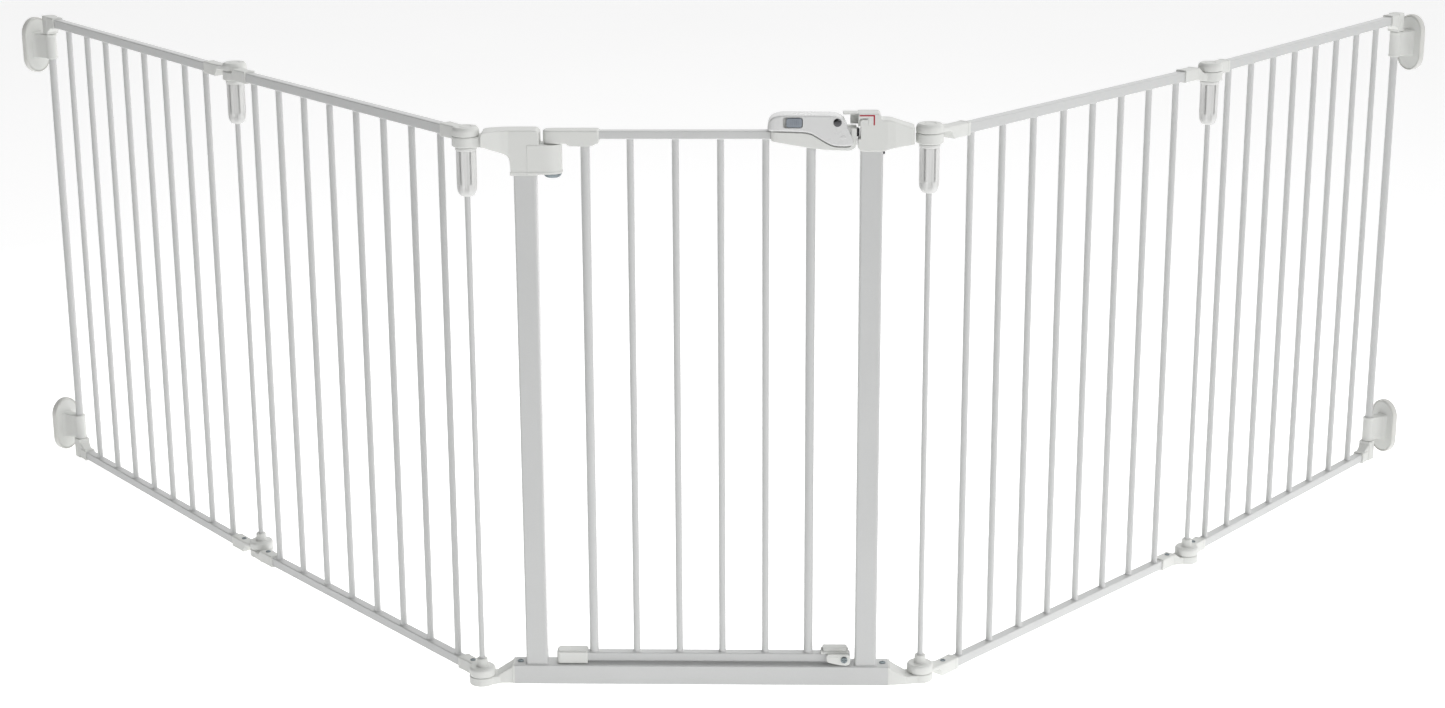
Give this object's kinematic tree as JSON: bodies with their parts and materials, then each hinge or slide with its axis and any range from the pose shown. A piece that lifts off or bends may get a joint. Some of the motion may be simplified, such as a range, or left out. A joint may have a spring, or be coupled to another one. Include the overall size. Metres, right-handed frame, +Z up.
{
  "type": "folding safety baby gate",
  "caption": "Configurable metal safety gate: walk-through door with lift latch between posts, and side panels of bars folding on clamped hinge rods, with swivelling wall mounts.",
  "frame": {"origin": "on the floor, at the middle of the threshold tube's underside", "axes": "+X along the threshold from the hinge post to the latch post, +Y towards the side the panels fold back to, +Z up"},
  "size_m": [2.2641, 1.0167, 0.7718],
  "materials": {
    "bolt_black": "fine matt",
    "button_grey": "smooth",
    "cup_white": "fine satin",
    "handle_white": "semi gloss",
    "indicator_red": "smooth",
    "knob_white": "fine satin",
    "moulding_white": "fine satin",
    "rivet_steel": "dark polished",
    "screw_steel": "zinc plated",
    "spring_steel": "plain wire",
    "white_rod": "satin powder coat",
    "white_tube": "satin powder coat"
  },
  "bodies": {
    "gate_frame": {"threshold_tube": "white_tube", "gate_posts": "white_tube", "left_post_bracket": "moulding_white", "right_post_bracket": "moulding_white", "lock_indicator": "indicator_red", "gate_foot_connectors": "moulding_white", "frame_screws": "screw_steel", "door_hinge_pins": "screw_steel", "gate_hinge_rods": "white_rod"},
    "door": {"door_top_rail": "white_tube", "door_bottom_rail": "white_tube", "door_uprights": "white_tube", "door_bars": "white_tube", "door_hinge_bracket": "moulding_white", "door_hinge_block": "moulding_white", "latch_base": "moulding_white", "handle_rivet": "rivet_steel", "handle_spring": "spring_steel", "bottom_latch_housing": "moulding_white", "stop_screw": "screw_steel"},
    "handle": {"handle_cover": "handle_white"},
    "button": {"slide_button": "button_grey"},
    "bolt": {"lock_bolt": "bolt_black"},
    "stop": {"swivel_stop": "moulding_white"},
    "left_inner_panel": {"left_inner_rails": "white_tube", "left_inner_bars": "white_tube", "left_inner_top_connectors": "moulding_white", "left_inner_bottom_connectors": "moulding_white", "left_inner_screws": "screw_steel", "left_inner_hinge_rod": "white_rod"},
    "left_outer_panel": {"left_outer_rails": "white_tube", "left_outer_bars": "white_tube", "left_outer_hinge_connectors": "moulding_white", "left_outer_end_post": "white_tube", "left_outer_end_fittings": "moulding_white", "left_outer_screw": "screw_steel"},
    "left_upper_wall_mount": {"left_upper_wall_bracket": "moulding_white", "left_upper_wall_cup": "cup_white"},
    "left_lower_wall_mount": {"left_lower_wall_bracket": "moulding_white", "left_lower_wall_cup": "cup_white"},
    "left_gate_knob": {"left_gate_knob": "knob_white"},
    "left_panel_knob": {"left_panel_knob": "knob_white"},
    "right_inner_panel": {"right_inner_rails": "white_tube", "right_inner_bars": "white_tube", "right_inner_top_connectors": "moulding_white", "right_inner_bottom_connectors": "moulding_white", "right_inner_screws": "screw_steel", "right_inner_hinge_rod": "white_rod"},
    "right_outer_panel": {"right_outer_rails": "white_tube", "right_outer_bars": "white_tube", "right_outer_hinge_connectors": "moulding_white", "right_outer_end_post": "white_tube", "right_outer_end_fittings": "moulding_white", "right_outer_screw": "screw_steel"},
    "right_upper_wall_mount": {"right_upper_wall_bracket": "moulding_white", "right_upper_wall_cup": "cup_white"},
    "right_lower_wall_mount": {"right_lower_wall_bracket": "moulding_white", "right_lower_wall_cup": "cup_white"},
    "right_gate_knob": {"right_gate_knob": "knob_white"},
    "right_panel_knob": {"right_panel_knob": "knob_white"}
  },
  "joints": [
    {"name": "door_swing", "type": "hinge", "parent": "gate_frame", "child": "door", "pos_m": [-0.184, 0, 0.374], "axis": [0, 0, 1], "range_deg": [-90, 90]},
    {"name": "handle_lift", "type": "hinge", "parent": "door", "child": "handle", "pos_m": [0.1751, 0, 0.7604], "axis": [0, 1, 0], "range_deg": [0, 15], "stiffness_Nm_per_rad": 0.4},
    {"name": "bolt_draw", "type": "slide", "parent": "door", "child": "bolt", "axis": [-1, 0, 0], "range_m": [0, 0.005]},
    {"name": "button_slide", "type": "slide", "parent": "handle", "child": "button", "axis": [-1, 0, 0], "range_m": [0, 0.004], "stiffness_N_per_m": 300},
    {"name": "stop_turn", "type": "hinge", "parent": "door", "child": "stop", "pos_m": [0.19, -0.011, 0.0372], "axis": [0, 1, 0], "range_deg": [0, 90]},
    {"name": "left_inner_fold", "type": "hinge", "parent": "gate_frame", "child": "left_inner_panel", "pos_m": [-0.292, -0.01, 0.374], "axis": [0, 0, -1], "range_deg": [-49, 39]},
    {"name": "left_outer_fold", "type": "hinge", "parent": "left_inner_panel", "child": "left_outer_panel", "pos_m": [-0.68137, 0.4684, 0.374], "axis": [0, 0, -1], "range_deg": [-89.75, 18.25]},
    {"name": "right_inner_fold", "type": "hinge", "parent": "gate_frame", "child": "right_inner_panel", "pos_m": [0.292, 0.01, 0.374], "axis": [0, 0, 1], "range_deg": [-48.5, 39.5]},
    {"name": "right_outer_fold", "type": "hinge", "parent": "right_inner_panel", "child": "right_outer_panel", "pos_m": [0.71548, 0.45848, 0.374], "axis": [0, 0, 1], "range_deg": [-91, 17]},
    {"name": "left_gate_knob_turn", "type": "hinge", "parent": "gate_frame", "child": "left_gate_knob", "pos_m": [-0.292, -0.01, 0.698], "axis": [0, 0, 1], "range_deg": [0, 180]},
    {"name": "left_panel_knob_turn", "type": "hinge", "parent": "left_inner_panel", "child": "left_panel_knob", "pos_m": [-0.68137, 0.4684, 0.698], "axis": [0, 0, 1], "range_deg": [0, 180]},
    {"name": "right_gate_knob_turn", "type": "hinge", "parent": "gate_frame", "child": "right_gate_knob", "pos_m": [0.292, 0.01, 0.698], "axis": [0, 0, 1], "range_deg": [0, 180]},
    {"name": "right_panel_knob_turn", "type": "hinge", "parent": "right_inner_panel", "child": "right_panel_knob", "pos_m": [0.71548, 0.45848, 0.698], "axis": [0, 0, 1], "range_deg": [0, 180]},
    {"name": "left_upper_wall_turn", "type": "hinge", "parent": "left_outer_panel", "child": "left_upper_wall_mount", "pos_m": [-1.07917, 0.93949, 0.701], "axis": [0, 0, 1], "range_deg": [-110.75, 69.25]},
    {"name": "left_lower_wall_turn", "type": "hinge", "parent": "left_outer_panel", "child": "left_lower_wall_mount", "pos_m": [-1.07917, 0.93949, 0.053], "axis": [0, 0, 1], "range_deg": [-110.75, 69.25]},
    {"name": "right_upper_wall_turn", "type": "hinge", "parent": "right_outer_panel", "child": "right_upper_wall_mount", "pos_m": [1.09144, 0.94718, 0.701], "axis": [0, 0, 1], "range_deg": [-68.5, 111.5]},
    {"name": "right_lower_wall_turn", "type": "hinge", "parent": "right_outer_panel", "child": "right_lower_wall_mount", "pos_m": [1.09144, 0.94718, 0.053], "axis": [0, 0, 1], "range_deg": [-68.5, 111.5]}
  ],
  "couplings": [
    {"joint": "bolt_draw", "follows": "handle_lift", "m_per_rad": 0.019}
  ]
}
